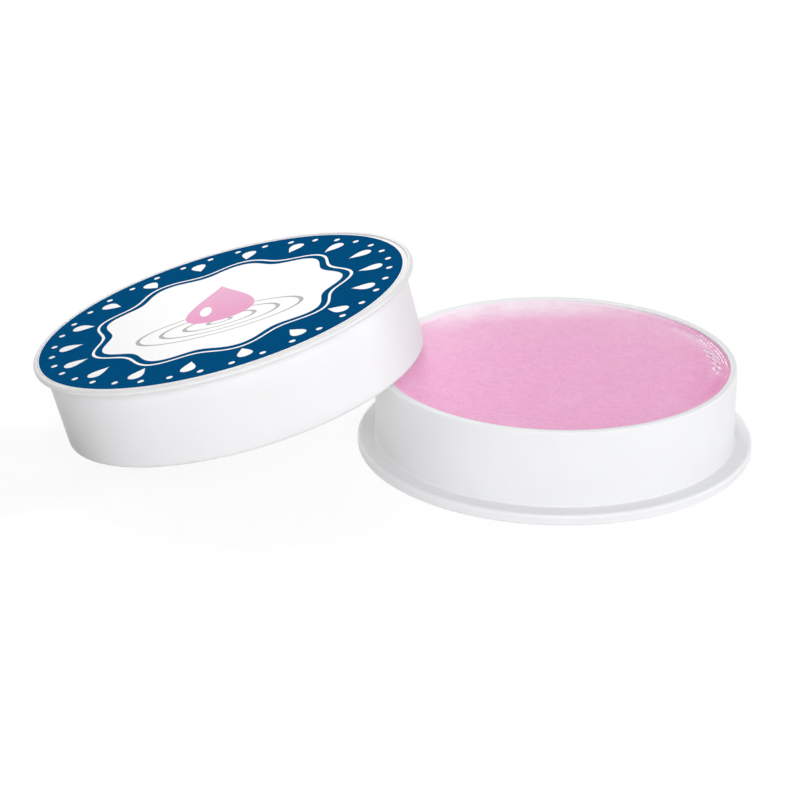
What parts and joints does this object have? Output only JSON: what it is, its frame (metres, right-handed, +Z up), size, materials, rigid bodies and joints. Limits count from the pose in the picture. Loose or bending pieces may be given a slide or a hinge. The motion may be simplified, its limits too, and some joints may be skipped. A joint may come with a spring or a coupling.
{
  "type": "finger moistener",
  "caption": "Shallow round tub filled level with pink moistening compound, open beside its deep push-on lid, which leans on the rim; wets fingertips for counting paper.",
  "frame": {"origin": "centre of the tub's underside, on the surface that it stands on", "axes": "+Z up along the tub's axis, +X from the leaning lid towards the tub, +Y away from the viewer of the picture"},
  "size_m": [0.0815, 0.0446, 0.0203],
  "materials": {
    "white_plastic": "satin",
    "pink_compound": "satin",
    "printed_label": "satin"
  },
  "bodies": {
    "tub": {"tub": "white_plastic", "moistening_compound": "pink_compound"},
    "lid": {"lid": "white_plastic", "lid_label": "printed_label"}
  },
  "joints": [
    {"name": "lid_lift", "type": "slide", "parent": "tub", "child": "lid", "axis": [0, 0, 1], "range_m": [0, 0.05]}
  ]
}
